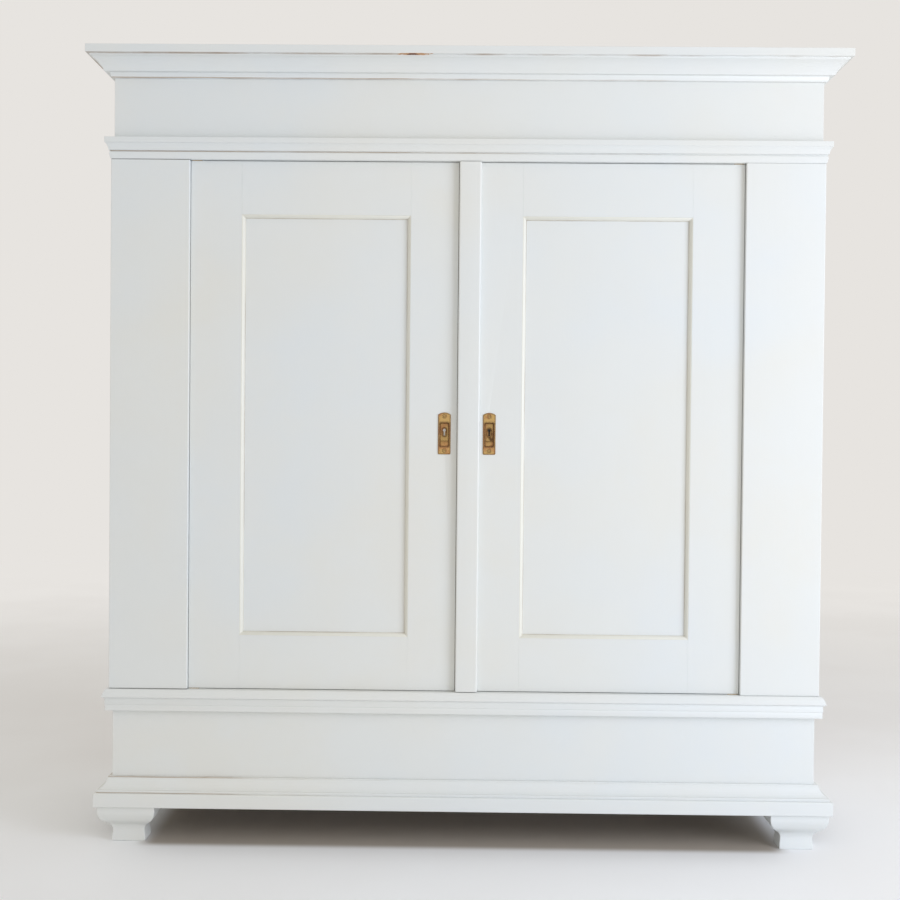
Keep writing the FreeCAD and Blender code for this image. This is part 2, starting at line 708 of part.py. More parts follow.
def make_lock_case():
    """A box on a mounting plate; its top and bottom flanges are screwed, and a pin guides the bolt."""
    x1 = LOCK_X + LOCK_WIDTH
    plate_reach = LOCK_HEIGHT / 2
    box_reach = plate_reach - LOCK_FLANGE
    case = box(LOCK_X, x1, DOOR_BACK_Y, DOOR_BACK_Y + LOCK_WALL,
               PLATE_CENTRE_Z - plate_reach, PLATE_CENTRE_Z + plate_reach)
    case = case.fuse(box(LOCK_X, x1, DOOR_BACK_Y, LOCK_BACK_Y,
                         PLATE_CENTRE_Z - box_reach, PLATE_CENTRE_Z + box_reach))
    case = case.cut(box(LOCK_X + LOCK_WALL, x1 - LOCK_WALL, DOOR_BACK_Y + LOCK_WALL, LOCK_BACK_Y - LOCK_WALL,
                        PLATE_CENTRE_Z - box_reach + LOCK_WALL, PLATE_CENTRE_Z + box_reach - LOCK_WALL))
    case = case.cut(bolt_passage(LOCK_X, LOCK_X + LOCK_WALL))
    case = case.cut(keyhole(RIGHT_PLATE_X, DOOR_BACK_Y, DOOR_BACK_Y + LOCK_WALL))
    guide_pin = rod(BOLT_GUIDE_RADIUS, Vector(BOLT_GUIDE_X, DOOR_BACK_Y, BOLT_Z),
                    Vector(BOLT_GUIDE_X, LOCK_BACK_Y, BOLT_Z))
    case = case.fuse(guide_pin)
    for place in lock_screw_places():
        case = case.cut(screw_blank(*place, -1))
    return case.removeSplitter().Solids[0]


def make_lock_bolt():
    """The lock's sliding bar, drawn back; a slot behind its middle runs on the guide pin."""
    half_thickness = BOLT_THICKNESS / 2
    bar = box(LOCK_X, LOCK_X + BOLT_LENGTH, BOLT_Y - half_thickness, BOLT_Y + half_thickness,
              BOLT_Z - BOLT_HEIGHT / 2, BOLT_Z + BOLT_HEIGHT / 2)
    half_slot = BOLT_GUIDE_RADIUS + BOLT_CLEARANCE
    slot = box(BOLT_GUIDE_X - half_slot, BOLT_GUIDE_X + half_slot + BOLT_TRAVEL, BOLT_Y - half_thickness,
               BOLT_Y + half_thickness, BOLT_Z - half_slot, BOLT_Z + half_slot)
    return bar.cut(slot).Solids[0]


def keeper_span():
    return LEFT_MEETING_EDGE - LOCK_EDGE_SETBACK - KEEPER_WIDTH, LEFT_MEETING_EDGE - LOCK_EDGE_SETBACK


def keeper_screw_places():
    x0, x1 = keeper_span()
    reach = BOLT_HEIGHT / 2 + BOLT_CLEARANCE + KEEPER_WALL + KEEPER_FOOT / 2
    return [((x0 + x1) / 2, DOOR_BACK_Y + KEEPER_WALL, BOLT_Z + way * reach) for way in (-1, 1)]


def make_keeper():
    """A strap with two screwed feet; the shot bolt goes under its bridge."""
    x0, x1 = keeper_span()
    bridge = BOLT_HEIGHT / 2 + BOLT_CLEARANCE + KEEPER_WALL
    foot = bridge + KEEPER_FOOT
    strap = box(x0, x1, DOOR_BACK_Y, DOOR_BACK_Y + KEEPER_WALL, BOLT_Z - foot, BOLT_Z + foot)
    back_y = BOLT_Y + BOLT_THICKNESS / 2 + BOLT_CLEARANCE + KEEPER_WALL
    strap = strap.fuse(box(x0, x1, DOOR_BACK_Y, back_y, BOLT_Z - bridge, BOLT_Z + bridge))
    passage = bolt_passage(x0, x1)
    under = box(x0, x1, DOOR_BACK_Y, BOLT_Y, BOLT_Z - bridge + KEEPER_WALL, BOLT_Z + bridge - KEEPER_WALL)
    strap = strap.cut(passage).cut(under)
    for place in keeper_screw_places():
        strap = strap.cut(screw_blank(*place, -1))
    return strap.removeSplitter().Solids[0]


# ---------------------------------------------------------------- slide bolts
SLIDE_Y = DOOR_BACK_Y + SLIDE_PLATE_THICKNESS + SLIDE_CLEARANCE + SLIDE_THICKNESS / 2


def slide_level(end, way, distance):
    """A height measured from a door's end (way is +1 at the top, -1 at the bottom) inwards."""
    return end - way * distance


def slide_bar(grow, level_a, level_b):
    """The flat bar's space between two heights, grown by a clearance."""
    low, high = sorted((level_a, level_b))
    half_width = SLIDE_WIDTH / 2 + grow
    half_thickness = SLIDE_THICKNESS / 2 + grow
    return box(SLIDE_X - half_width, SLIDE_X + half_width, SLIDE_Y - half_thickness,
               SLIDE_Y + half_thickness, low, high)


def slide_screw_places(end, way):
    places = []
    for side, distance in ((-1, SLIDE_SCREW_INSET), (1, SLIDE_PLATE_LENGTH - SLIDE_SCREW_INSET)):
        places.append((SLIDE_X + side * SLIDE_SCREW_SIDE, DOOR_BACK_Y + SLIDE_PLATE_THICKNESS,
                       slide_level(end, way, distance)))
    return places


def make_slide_guide(end, way):
    """A back plate with two staples that carry a flat bolt."""
    inner_end = slide_level(end, way, SLIDE_PLATE_LENGTH)
    low, high = sorted((end, inner_end))
    half = SLIDE_PLATE_WIDTH / 2
    guide = box(SLIDE_X - half, SLIDE_X + half, DOOR_BACK_Y, DOOR_BACK_Y + SLIDE_PLATE_THICKNESS, low, high)
    for start in (SLIDE_LOOP_INSET, SLIDE_PLATE_LENGTH - SLIDE_LOOP_INSET - SLIDE_LOOP_HEIGHT):
        staple = slide_bar(SLIDE_CLEARANCE + SLIDE_LOOP_WALL, slide_level(end, way, start),
                           slide_level(end, way, start + SLIDE_LOOP_HEIGHT))
        guide = guide.fuse(staple)
    guide = guide.cut(slide_bar(SLIDE_CLEARANCE, low, high))
    behind = box(SLIDE_X - half, SLIDE_X + half, DOOR_Y, DOOR_BACK_Y, low, high)
    guide = guide.cut(behind)
    for place in slide_screw_places(end, way):
        guide = guide.cut(screw_blank(*place, -1))
    return guide.removeSplitter().Solids[0]


def make_slide_bolt(end, way):
    """A flat bolt drawn back inside the door's edge, with a thumb knob."""
    tip = slide_level(end, way, SLIDE_TIP_SETBACK)
    tail = slide_level(end, way, SLIDE_TIP_SETBACK + SLIDE_LENGTH)
    middle = Vector(SLIDE_X, SLIDE_Y, (tip + tail) / 2)
    knob = rod(SLIDE_KNOB_RADIUS, middle, middle + Vector(0, SLIDE_KNOB_LENGTH, 0))
    return slide_bar(0, tip, tail).fuse(knob).removeSplitter().Solids[0]


def slide_hole(level, way):
    """The mortise in the bottom or ceiling board that a shot bolt enters."""
    depth = SLIDE_TRAVEL - SLIDE_TIP_SETBACK - DOOR_END_CLEARANCE + SLIDE_CLEARANCE
    return slide_bar(SLIDE_CLEARANCE, level, level + way * depth)


# ---------------------------------------------------------------- doors
def make_door(x0, x1, stiles):
    leaf = framed_leaf(x1 - x0, DOOR_TOP - DOOR_Z, DOOR_THICKNESS, stiles, (DOOR_BOTTOM_RAIL, DOOR_TOP_RAIL))
    return {name: moved(shape, x0, DOOR_Y, DOOR_Z) for name, shape in leaf.items()}


def make_cover_strip():
    """The flat strip planted on the right door's meeting edge, its front arrises rounded."""
    front_y = FACE_Y - STRIP_PROUD_OF_PILASTER
    strip = box(STRIP_LEFT, STRIP_LEFT + STRIP_WIDTH, front_y, DOOR_Y, DOOR_Z, DOOR_TOP)
    arrises = [edge for edge in strip.Edges
               if abs(edge.BoundBox.YMax - front_y) < FLAT_SPREAD and edge.BoundBox.ZLength > STRIP_WIDTH]
    return strip.makeFillet(STRIP_EDGE_RADIUS, arrises)


def drilled(shape, blanks):
    for blank in blanks:
        shape = shape.cut(blank)
    return shape.removeSplitter().Solids[0]


nodes = {}

nodes["feet"] = make_feet()
nodes["slab_front"], nodes["slab_sides"], nodes["slab_back"] = make_slab()
plinth = board_box(PLINTH_OFFSET, PLINTH_THICKNESS, SLAB_TOP, BOTTOM_BOARD_Z)
nodes["plinth_front"], nodes["plinth_sides"], nodes["plinth_back"] = plinth
nodes["base_moulding_front"], nodes["base_moulding_returns"] = around_body(BASE_MOULDING_SECTION, SLAB_TOP)
nodes["sill_moulding_front"], nodes["sill_moulding_returns"] = around_body(SILL_SECTION, SILL_Z)

all_sockets = socket_blanks(-PIVOT_X) + socket_blanks(PIVOT_X)
bottom_board = covering_board(PLINTH_OFFSET, BOTTOM_BOARD_Z, OPENING_Z)
nodes["bottom_board"] = drilled(bottom_board, all_sockets + [slide_hole(OPENING_Z, -1)])
ceiling_board = covering_board(FRIEZE_OFFSET, OPENING_TOP, CEILING_TOP)
nodes["ceiling_board"] = drilled(ceiling_board, all_sockets + [slide_hole(OPENING_TOP, 1)])
nodes["pivot_sockets"] = make_sockets()

nodes["right_pilaster"] = make_pilaster()
nodes["left_pilaster"] = mirrored(nodes["right_pilaster"])
nodes["door_jambs"] = make_jambs()
nodes["right_side_frame"], nodes["right_side_panel"] = make_side()
nodes["left_side_frame"] = mirrored(nodes["right_side_frame"])
nodes["left_side_panel"] = mirrored(nodes["right_side_panel"])
for shelf_number, shelf_name in enumerate(("lower_shelf", "middle_shelf", "upper_shelf"), 1):
    nodes[shelf_name] = make_shelf(shelf_number)
nodes["shelf_bearers"] = make_bearers()
nodes["back_boards"] = make_back_boards()
nodes["door_stops"] = make_door_stops()

nodes["architrave_front"], nodes["architrave_returns"] = around_body(ARCHITRAVE_SECTION, OPENING_TOP)
frieze = board_box(FRIEZE_OFFSET, FRIEZE_THICKNESS, CEILING_TOP, ROOF_Z)
nodes["frieze_front"], nodes["frieze_sides"], nodes["frieze_back"] = frieze
nodes["cornice_front"], nodes["cornice_returns"] = around_body(CORNICE_SECTION, CORNICE_Z)
nodes["roof_boards"] = make_roof_boards()

left_stile_width = PANEL_INNER_EDGE + LEFT_MEETING_EDGE
left_door = make_door(-DOOR_OUTER_EDGE, LEFT_MEETING_EDGE, (DOOR_OUTER_STILE, left_stile_width))
right_stile_width = PANEL_INNER_EDGE - STRIP_LEFT
right_door = make_door(STRIP_LEFT, DOOR_OUTER_EDGE, (right_stile_width, DOOR_OUTER_STILE))

left_plate_screws = plate_screw_places(LEFT_PLATE_X)
slide_screws = slide_screw_places(DOOR_TOP, 1) + slide_screw_places(DOOR_Z, -1)
left_back_screws = keeper_screw_places() + slide_screws
left_blanks = [screw_blank(*place, 1) for place in left_plate_screws]
left_blanks += [screw_blank(*place, -1) for place in left_back_screws]
right_plate_screws = plate_screw_places(RIGHT_PLATE_X)
right_blanks = [screw_blank(*place, 1) for place in right_plate_screws]
right_blanks += [screw_blank(*place, -1) for place in lock_screw_places()]

nodes["left_pivots"] = make_pivots(-PIVOT_X)
nodes["left_hanging_stile"] = drilled(left_door["left_stile"], nodes["left_pivots"].Solids)
nodes["left_meeting_stile"] = drilled(left_door["right_stile"],
                                      [plate_mortise(LEFT_PLATE_X)] + left_blanks)
nodes["left_top_rail"] = left_door["top_rail"]
nodes["left_bottom_rail"] = left_door["bottom_rail"]
nodes["left_panel"] = left_door["panel"]
nodes["left_panel_moulding"] = left_door["moulding"]
nodes["left_lock_plate"] = make_lock_plate(LEFT_PLATE_X)
nodes["left_door_screws"] = Part.Compound([screw(*place, 1) for place in left_plate_screws]
                                          + [screw(*place, -1) for place in left_back_screws])

nodes["right_pivots"] = make_pivots(PIVOT_X)
nodes["right_hanging_stile"] = drilled(right_door["right_stile"], nodes["right_pivots"].Solids)
key_way = keyhole(RIGHT_PLATE_X, DOOR_Y, DOOR_BACK_Y)
nodes["right_meeting_stile"] = drilled(right_door["left_stile"],
                                       [plate_mortise(RIGHT_PLATE_X), key_way] + right_blanks)
nodes["right_top_rail"] = right_door["top_rail"]
nodes["right_bottom_rail"] = right_door["bottom_rail"]
nodes["right_panel"] = right_door["panel"]
nodes["right_panel_moulding"] = right_door["moulding"]
nodes["right_lock_plate"] = make_lock_plate(RIGHT_PLATE_X)
nodes["right_door_screws"] = Part.Compound([screw(*place, 1) for place in right_plate_screws]
                                           + [screw(*place, -1) for place in lock_screw_places()])
nodes["cover_strip"] = make_cover_strip()
nodes["lock_case"] = make_lock_case()
nodes["lock_bolt"] = make_lock_bolt()
nodes["lock_keeper"] = make_keeper()
nodes["slide_bolt_guides"] = Part.Compound([make_slide_guide(DOOR_TOP, 1), make_slide_guide(DOOR_Z, -1)])
nodes["upper_slide_bolt"] = make_slide_bolt(DOOR_TOP, 1)
nodes["lower_slide_bolt"] = make_slide_bolt(DOOR_Z, -1)

for node_name, shape in nodes.items():
    shape.exportStep("parts/" + node_name + ".step")
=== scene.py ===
"""Dresses the kas cupboard: worn pale paint, bare inside wood, aged brass and oiled steel."""

import json
import math

import bmesh
import bpy
from mathutils import Matrix, Vector

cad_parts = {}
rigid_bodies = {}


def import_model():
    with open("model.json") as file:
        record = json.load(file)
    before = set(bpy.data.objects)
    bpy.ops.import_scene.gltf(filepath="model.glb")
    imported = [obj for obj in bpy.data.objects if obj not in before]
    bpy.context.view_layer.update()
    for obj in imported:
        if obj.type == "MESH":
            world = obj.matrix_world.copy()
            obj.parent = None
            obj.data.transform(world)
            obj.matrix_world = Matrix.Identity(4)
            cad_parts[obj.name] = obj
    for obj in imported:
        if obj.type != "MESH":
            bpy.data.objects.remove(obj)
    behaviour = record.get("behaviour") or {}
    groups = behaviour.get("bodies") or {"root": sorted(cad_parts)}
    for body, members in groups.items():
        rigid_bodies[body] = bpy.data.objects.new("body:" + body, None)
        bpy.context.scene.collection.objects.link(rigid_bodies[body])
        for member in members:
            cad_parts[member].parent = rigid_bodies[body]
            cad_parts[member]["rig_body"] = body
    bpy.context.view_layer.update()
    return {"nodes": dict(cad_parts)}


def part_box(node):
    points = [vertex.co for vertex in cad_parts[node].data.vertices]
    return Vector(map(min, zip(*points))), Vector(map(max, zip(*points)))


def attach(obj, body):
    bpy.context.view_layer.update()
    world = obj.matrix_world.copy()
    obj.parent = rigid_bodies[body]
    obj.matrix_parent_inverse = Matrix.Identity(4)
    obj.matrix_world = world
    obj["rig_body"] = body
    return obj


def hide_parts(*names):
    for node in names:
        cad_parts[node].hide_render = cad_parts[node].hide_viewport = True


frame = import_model()

MM = 0.001

# ---------------------------------------------------------------- the view, with its angles in radians
VIEW_PIXELS = 900
FOCAL_PIXELS = 1215.4
SENSOR_WIDTH = 36.0
CAMERA_PLACE = Vector((-4.0, -3180.9, 1005.4)) * MM
CAMERA_YAW = -0.01094
CAMERA_PITCH = -0.01609
CAMERA_ROLL = 0.00927

# ---------------------------------------------------------------- colours, as linear values
PAINT = (0.760, 0.780, 0.770)
PAINT_WARM = (0.765, 0.765, 0.725)
PAINT_COOL = (0.735, 0.775, 0.795)
PAINT_CREAM = (0.790, 0.765, 0.660)
RUBBED_TAN = (0.520, 0.345, 0.200)
RUBBED_BROWN = (0.210, 0.085, 0.035)
CHIP_ORANGE = (0.560, 0.330, 0.180)
CHIP_DARK = (0.200, 0.100, 0.060)
GLAZE_BROWN = (0.380, 0.270, 0.180)
# Colour of the painted shadow in the pilasters' joints.
SEAM_SHADOW = (0.060, 0.055, 0.050)
GRIME_AND_SHADE = (0.300, 0.215, 0.140)
BARE_PALE = (0.420, 0.255, 0.125)
BARE_DARK = (0.185, 0.090, 0.038)
BRASS = (0.640, 0.430, 0.170)
BRASS_ORANGE = (0.560, 0.300, 0.130)
BRASS_TARNISH_AND_SHADE = (0.130, 0.066, 0.028)
STEEL = (0.180, 0.172, 0.165)
STEEL_RUST = (0.085, 0.045, 0.028)
FLOOR = (0.930, 0.940, 0.960)
FLOOR_SHADE = (0.905, 0.910, 0.925)
# Colour of the shadow painted on the floor under the cupboard.
FLOOR_UNDER_SHADOW = (0.420, 0.370, 0.320)
BACKGROUND = (0.800, 0.775, 0.745)
BLACK = (0.0, 0.0, 0.0)

# ---------------------------------------------------------------- places on the cupboard, from the solids
DOOR_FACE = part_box("left_top_rail")[0].y
PANEL_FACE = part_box("left_panel")[0].y
CORNICE_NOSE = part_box("cornice_front")[0].y
CORNICE_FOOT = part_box("cornice_front")[0].z
CORNICE_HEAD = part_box("cornice_front")[1].z
ARCHITRAVE_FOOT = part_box("architrave_front")[0].z
PILASTER_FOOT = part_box("left_pilaster")[0].z
PILASTER_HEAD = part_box("left_pilaster")[1].z
BASE_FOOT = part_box("base_moulding_front")[0].z
BASE_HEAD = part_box("base_moulding_front")[1].z
BACK_LOW, BACK_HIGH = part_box("back_boards")
ROOF_LOW, ROOF_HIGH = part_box("roof_boards")
BACK_BOARD_COUNT = 8
ROOF_BOARD_COUNT = 4

# ---------------------------------------------------------------- stains, chips, dark places and painted shade
CORNICE_BAND_LINE = CORNICE_HEAD - 19.5 * MM
CORNICE_FOOT_LINE = CORNICE_FOOT + 1.0 * MM
ARCHITRAVE_LINE = ARCHITRAVE_FOOT + 18.5 * MM
BASE_HEAD_LINE = BASE_HEAD - 1.0 * MM
BASE_FOOT_LINE = BASE_FOOT + 1.0 * MM
PILASTER_FOOT_JOINT = PILASTER_FOOT + 0.6 * MM
PILASTER_HEAD_JOINT = PILASTER_HEAD - 0.6 * MM
CHIP_MIDDLE = (-126.0 * MM, CORNICE_NOSE, CORNICE_BAND_LINE)
CHIP_REACH = (42.0 * MM, 20.0 * MM, 1.6 * MM)
CHIP_HEART = (-132.0 * MM, CORNICE_NOSE, CORNICE_BAND_LINE - 0.2 * MM)
CHIP_HEART_REACH = (16.0 * MM, 20.0 * MM, 1.2 * MM)
BARE_BEHIND_EDGE = DOOR_FACE + 8.0 * MM
# Past this depth the plates' cups are darkened as painted shade.
PLATE_HOLLOW_SHADE = DOOR_FACE + 4.0 * MM
# Past this depth the panel moulding's corner is darkened as dirt and painted shade.
PANEL_CORNER = PANEL_FACE - 2.2 * MM
SIDES_FROM = 700.0 * MM

# ---------------------------------------------------------------- sizes of the finish
PAINTED_ARRIS = 0.8 * MM
DOOR_ARRIS = PAINTED_ARRIS / 2
FOOT_ARRIS = 1.6 * MM
PILASTER_ARRIS = 1.8 * MM
WOOD_ARRIS = 1.0 * MM
METAL_ARRIS = 0.35 * MM
ARRIS_SEGMENTS = 2
EDGE_SAMPLES = 6
SHARP_ANGLE = math.radians(32)
FLAT_ANGLE = math.radians(0.5)
SAME_PLACE = 0.005 * MM

# ---------------------------------------------------------------- floor and light
FLOOR_RADIUS = 9.0
FLOOR_SEGMENTS = 96
FLOOR_FADE = (1.6, 6.5)
# How far the shadow painted on the floor under the cupboard reaches across and back.
UNDER_SHADOW_HALF_WIDTH = (0.80, 0.74)
UNDER_SHADOW_HALF_DEPTH = (0.29, 0.25)
FILL_COLOUR = (1.0, 0.962, 0.896)
FILL_STRENGTH = 0.70
WINDOW_PLACE = Vector((3.0, -2.2, 1.45))
WINDOW_AIM = Vector((0.3, -0.2, 0.90))
WINDOW_WIDTH = 1.8
WINDOW_HEIGHT = 2.4
WINDOW_WATTS = 74.0
WINDOW_COLOUR = (0.79, 0.86, 1.0)


# ---------------------------------------------------------------- node trees
# A Mix node has sockets for every kind of value, and these are its colour ones.
COLOUR_UNDER, COLOUR_OVER, COLOUR_RESULT = 6, 7, 2


class Tree:
    """A node tree with short calls for the nodes that the finishes use."""

    def __init__(self, tree):
        self.tree = tree

    def add(self, kind, **settings):
        node = self.tree.nodes.new(kind)
        for name, value in settings.items():
            setattr(node, name, value)
        return node

    def join(self, source, socket):
        """Link a socket to its source, or give it a plain value; a colour gets its alpha here."""
        if isinstance(source, bpy.types.NodeSocket):
            self.tree.links.new(source, socket)
        elif isinstance(source, tuple) and len(source) == 3 and socket.type == "RGBA":
            socket.default_value = (*source, 1.0)
        else:
            socket.default_value = source

    def fill(self, node, **values):
        """Set a node's inputs by their names, where underscores stand for spaces."""
        for name, given in values.items():
            self.join(given, node.inputs[name.replace("_", " ")])
        return node.outputs

    def maths(self, operation, first, second=0.0, clamp=False):
        node = self.add("ShaderNodeMath", operation=operation, use_clamp=clamp)
        self.join(first, node.inputs[0])
        self.join(second, node.inputs[1])
        return node.outputs[0]

    def vector_maths(self, operation, first, second):
        node = self.add("ShaderNodeVectorMath", operation=operation)
        self.join(first, node.inputs[0])
        self.join(second, node.inputs[1])
        return node.outputs["Value"] if operation == "DOT_PRODUCT" else node.outputs["Vector"]

    def length(self, vector):
        node = self.add("ShaderNodeVectorMath", operation="LENGTH")
        self.join(vector, node.inputs[0])
        return node.outputs["Value"]

    def ease(self, value, low, high, to_low=0.0, to_high=1.0):
        """A smooth step from to_low to to_high while the value goes from low to high."""
        node = self.add("ShaderNodeMapRange", interpolation_type="SMOOTHSTEP")
        outputs = self.fill(node, Value=value, From_Min=low, From_Max=high, To_Min=to_low, To_Max=to_high)
        return outputs["Result"]

    def noise(self, vector, scale, detail=3.0, roughness=0.55):
        node = self.add("ShaderNodeTexNoise")
        return self.fill(node, Vector=vector, Scale=scale, Detail=detail, Roughness=roughness)["Fac"]

    def wobble(self, vector, scale, reach, detail=3.0, roughness=0.55):
        """Noise centred on nought; its ends lie half the reach to either side."""
        centred = self.maths("SUBTRACT", self.noise(vector, scale, detail, roughness), 0.5)
        return self.maths("MULTIPLY", centred, reach)

    def edge_turn(self, width):
        """How much the surface turns within a width: nought on a flat, more towards an edge."""
        rounded = self.add("ShaderNodeBevel", samples=EDGE_SAMPLES)
        self.join(width, rounded.inputs["Radius"])
        flat = self.add("ShaderNodeNewGeometry").outputs["True Normal"]
        return self.maths("SUBTRACT", 1.0, self.vector_maths("DOT_PRODUCT", rounded.outputs[0], flat))

    def blend(self, mask, under, over):
        """One colour laid over another, as far as the mask says."""
        node = self.add("ShaderNodeMix", data_type="RGBA")
        self.join(mask, node.inputs["Factor"])
        self.join(under, node.inputs[COLOUR_UNDER])
        self.join(over, node.inputs[COLOUR_OVER])
        return node.outputs[COLOUR_RESULT]

    def axes(self, vector):
        node = self.add("ShaderNodeSeparateXYZ")
        self.join(vector, node.inputs[0])
        return node.outputs

    def vector(self, x, y, z):
        node = self.add("ShaderNodeCombineXYZ")
        for given, socket in zip((x, y, z), node.inputs):
            self.join(given, socket)
        return node.outputs[0]

    def place(self, group, **values):
        """A node group with its inputs set."""
        return self.fill(self.add("ShaderNodeGroup", node_tree=group), **values)

    def shader(self, **values):
        surface = self.fill(self.add("ShaderNodeBsdfPrincipled"), **values)[0]
        self.join(surface, self.add("ShaderNodeOutputMaterial").inputs[0])

    def bump(self, height, distance, strength):
        return self.fill(self.add("ShaderNodeBump"), Height=height, Distance=distance, Strength=strength)[0]


SOCKETS = {"value": "NodeSocketFloat", "vector": "NodeSocketVector", "colour": "NodeSocketColor"}


def new_group(name, inputs, outputs):
    """A shader node group; inputs are (name, kind, usual value) and outputs are (name, kind)."""
    group = bpy.data.node_groups.new(name, "ShaderNodeTree")
    for label, kind, usual in inputs:
        socket = group.interface.new_socket(label, in_out="INPUT", socket_type=SOCKETS[kind])
        if usual is not None:
            socket.default_value = usual
    for label, kind in outputs:
        group.interface.new_socket(label, in_out="OUTPUT", socket_type=SOCKETS[kind])
    tree = Tree(group)
    return group, tree, tree.add("NodeGroupInput").outputs, tree.add("NodeGroupOutput").inputs


def arris_wear_group():
    """Where the paint is rubbed along arrises and in corners, broken up in long patches."""
    group, tree, given, result = new_group(
        "arris_wear",
        [("Vector", "vector", None), ("Width", "value", 0.003), ("Amount", "value", 0.4),
         ("Patch Scale", "value", 4.0)],
        [("Light", "value"), ("Deep", "value")])
    edge = tree.ease(tree.edge_turn(given["Width"]), 0.02, 0.20)
    patches = tree.noise(given["Vector"], scale=given["Patch Scale"], detail=4.0, roughness=0.6)
    speckle = tree.wobble(given["Vector"], scale=160.0, reach=0.35, detail=2.0, roughness=0.7)
    reach = tree.maths("ADD", patches, speckle)
    start = tree.maths("SUBTRACT", 0.78, tree.maths("MULTIPLY", given["Amount"], 0.45))
    light = tree.ease(reach, start, tree.maths("ADD", start, 0.16))
    deep_start = tree.maths("ADD", start, 0.13)
    deep = tree.ease(reach, deep_start, tree.maths("ADD", deep_start, 0.07))
    tree.join(tree.maths("MULTIPLY", edge, light), result["Light"])
    tree.join(tree.maths("MULTIPLY", edge, deep), result["Deep"])
    return group


def stain_and_shadow_line_group():
    """A line along one height, used as a stain in a moulding's groove and as painted shadow in a joint; a
    negative heavy end leans it to the left.
    """
    group, tree, given, result = new_group(
        "stain_and_shadow_line",
        [("Vector", "vector", None), ("Level", "value", 1.0), ("Half Width", "value", 0.0014),
         ("Strength", "value", 0.5), ("Heavy End", "value", 0.0)],
        [("Mask", "value")])
    x, y, z = tree.axes(given["Vector"])
    height = tree.maths("ADD", z, tree.wobble(given["Vector"], scale=9.0, reach=1.6 * MM))
    away = tree.maths("ABSOLUTE", tree.maths("SUBTRACT", height, given["Level"]))
    line = tree.ease(away, given["Half Width"], tree.maths("MULTIPLY", given["Half Width"], 0.3))
    patches = tree.noise(tree.vector(x, y, 0.0), scale=3.2, detail=5.0, roughness=0.65)
    lean = tree.maths("MULTIPLY", tree.maths("MULTIPLY", x, given["Heavy End"]), 0.25)
    strength = tree.maths("MULTIPLY", given["Strength"], 0.35)
    reach = tree.maths("ADD", tree.maths("ADD", patches, lean), strength)
    tree.join(tree.maths("MULTIPLY", line, tree.ease(reach, 0.50, 0.82), clamp=True), result["Mask"])
    return group


def brush_marks_group():
    """Long streaks left by a paint brush, with a slow change of tone."""
    group, tree, given, result = new_group(
        "brush_marks",
        [("Vector", "vector", None), ("Along", "vector", (1.0, 1.0, 1.0))],
        [("Streaks", "value"), ("Tone", "value"), ("Shade", "value")])
    stretched = tree.vector_maths("MULTIPLY", given["Vector"], given["Along"])
    broad = tree.noise(stretched, scale=22.0, detail=3.0, roughness=0.6)
    fine = tree.noise(stretched, scale=110.0, detail=2.0, roughness=0.6)
    streaks = tree.maths("ADD", tree.maths("MULTIPLY", broad, 0.45), tree.maths("MULTIPLY", fine, 0.55))
    tree.join(streaks, result["Streaks"])
    tree.join(tree.noise(given["Vector"], scale=1.7, detail=3.0, roughness=0.5), result["Tone"])
    tree.join(tree.noise(given["Vector"], scale=5.5, detail=4.0, roughness=0.6), result["Shade"])
    return group


def inner_face_group():
    """The faces that look back or, at the sides, into the cupboard; they were never painted."""
    group, tree, given, result = new_group(
        "inner_face", [("Vector", "vector", None), ("Amount", "value", 1.0)], [("Mask", "value")])
    normal = tree.axes(tree.add("ShaderNodeTexCoord").outputs["Normal"])
    x = tree.axes(given["Vector"])[0]
    side = tree.maths("SIGN", x)
    inward = tree.maths("MULTIPLY", tree.maths("MULTIPLY", normal[0], side), -1.0)
    outer_zone = tree.maths("GREATER_THAN", tree.maths("ABSOLUTE", x), SIDES_FROM)
    inward = tree.maths("MULTIPLY", tree.ease(inward, 0.55, 0.85), outer_zone)
    backward = tree.ease(normal[1], 0.55, 0.85)
    both = tree.maths("MAXIMUM", inward, backward)
    tree.join(tree.maths("MULTIPLY", both, given["Amount"]), result["Mask"])
    return group


def depth_band_group():
    """What lies further back than one depth: bare wood behind a painted edge, or the foot of a hollow."""
    group, tree, given, result = new_group(
        "depth_band", [("Vector", "vector", None), ("Start", "value", 0.0), ("Softness", "value", 0.0006)],
        [("Mask", "value")])
    wobble = tree.wobble(given["Vector"], scale=60.0, reach=1.2 * MM)
    depth = tree.maths("ADD", tree.axes(given["Vector"])[1], wobble)
    end = tree.maths("ADD", given["Start"], given["Softness"])
    tree.join(tree.ease(depth, given["Start"], end), result["Mask"])
    return group


def paint_chip_group():
    """A ragged place where the paint has come off down to the old red-brown coat."""
    group, tree, given, result = new_group(
        "paint_chip",
        [("Vector", "vector", None), ("Middle", "vector", (0.0, 0.0, 0.0)),
         ("Reach", "vector", (0.02, 0.02, 0.02))],
        [("Mask", "value")])
    away = tree.vector_maths("SUBTRACT", given["Vector"], given["Middle"])
    distance = tree.length(tree.vector_maths("DIVIDE", away, given["Reach"]))
    ragged = tree.wobble(given["Vector"], scale=70.0, reach=1.6, detail=4.0, roughness=0.7)
    tree.join(tree.ease(tree.maths("ADD", distance, ragged), 1.0, 0.75), result["Mask"])
    return group


def board_tone_group():
    """A steady random number for each board of a row, by its place across the row."""
    group, tree, given, result = new_group(
        "board_tone",
        [("Vector", "vector", None), ("Across", "vector", (1.0, 0.0, 0.0)), ("Start", "value", 0.0),
         ("Pitch", "value", 1.0)],
        [("Tone", "value")])
    place = tree.vector_maths("DOT_PRODUCT", given["Vector"], given["Across"])
    boards = tree.maths("DIVIDE", tree.maths("SUBTRACT", place, given["Start"]), given["Pitch"])
    random = tree.add("ShaderNodeTexWhiteNoise", noise_dimensions="1D")
    tree.join(tree.maths("FLOOR", boards), random.inputs["W"])
    tree.join(random.outputs["Value"], result["Tone"])
    return group


